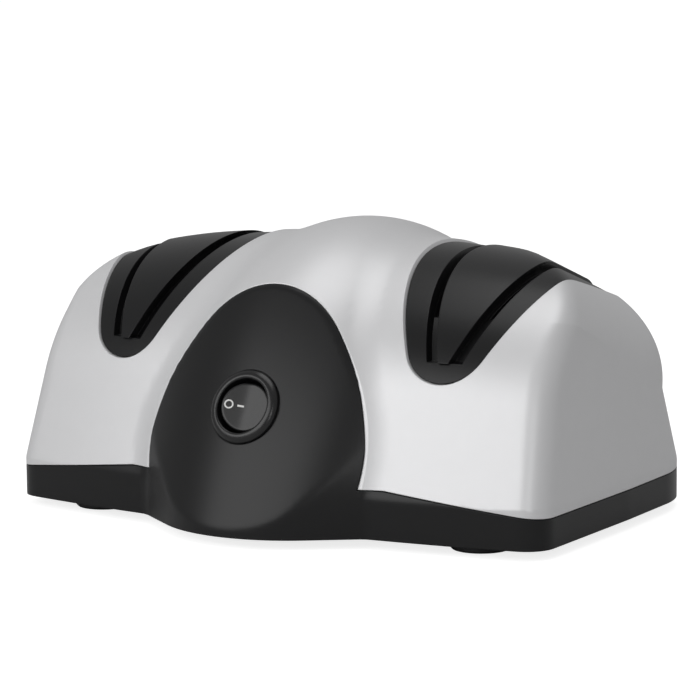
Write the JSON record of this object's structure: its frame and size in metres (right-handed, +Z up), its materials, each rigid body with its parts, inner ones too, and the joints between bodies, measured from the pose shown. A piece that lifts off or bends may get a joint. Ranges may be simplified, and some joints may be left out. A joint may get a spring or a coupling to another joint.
{
  "type": "electric knife sharpener",
  "caption": "Low rounded two-stage electric knife sharpener with a silver shell over a black housing, slotted guides over grinding wheels, a round rocker switch and rubber feet.",
  "frame": {"origin": "centre of the overall bounding box on the surface that the feet stand on", "axes": "+Z up, -Y is the front with the rocker switch, +X to the user's right along the motor shaft"},
  "size_m": [0.188, 0.1516, 0.0905],
  "materials": {
    "silver_paint": "satin silver paint over moulded ABS",
    "black_housing": "moulded black ABS, fine satin texture",
    "switch_black": "moulded black nylon, semi-gloss",
    "mark_white": "white filled legend",
    "terminal_brass": "plain stamped brass",
    "motor_steel": "stacked steel laminations",
    "copper": "copper: enamelled wire and shading rings",
    "nylon": "natural moulded nylon",
    "cast_alloy": "die-cast alloy, as cast",
    "bronze": "sintered bronze",
    "steel": "zinc-plated and ground steel",
    "hub_plastic": "moulded glass-filled nylon",
    "coarse_abrasive": "bonded aluminium oxide, coarse grit",
    "fine_abrasive": "bonded aluminium oxide, fine grit",
    "rubber": "moulded black rubber"
  },
  "bodies": {
    "housing": {"base_housing": "black_housing", "cord_gland": "rubber", "foot_front_left": "rubber", "foot_front_right": "rubber", "foot_rear_left": "rubber", "foot_rear_right": "rubber", "guide_insert_left": "black_housing", "guide_insert_right": "black_housing", "housing_screws": "steel", "motor_bobbin": "nylon", "motor_bracket_left": "cast_alloy", "motor_bracket_right": "cast_alloy", "motor_coil": "copper", "motor_core": "motor_steel", "motor_mounts": "rubber", "motor_nuts": "steel", "motor_screws": "steel", "mount_screws": "steel", "shading_rings": "copper", "shaft_bush_left": "bronze", "shaft_bush_right": "bronze", "switch_body": "switch_black", "switch_terminals": "terminal_brass", "top_shell": "silver_paint"},
    "rocker": {"switch_rocker": "switch_black", "rocker_marks": "mark_white"},
    "rotor": {"motor_shaft": "steel", "rotor_core": "motor_steel", "cooling_fan": "nylon", "coarse_hub": "hub_plastic", "coarse_disc_inner": "coarse_abrasive", "coarse_disc_outer": "coarse_abrasive", "coarse_nut": "steel", "fine_hub": "hub_plastic", "fine_disc_inner": "fine_abrasive", "fine_disc_outer": "fine_abrasive", "fine_nut": "steel"}
  },
  "joints": [
    {"name": "switch_rock", "type": "hinge", "parent": "housing", "child": "rocker", "pos_m": [0, -0.0581, 0.0388], "axis": [0, 0.4281, 0.9037], "range_deg": [-22, 0]},
    {"name": "rotor_spin", "type": "hinge", "parent": "housing", "child": "rotor", "pos_m": [0, 0.00697, 0.048], "axis": [1, 0, 0], "continuous": true}
  ]
}
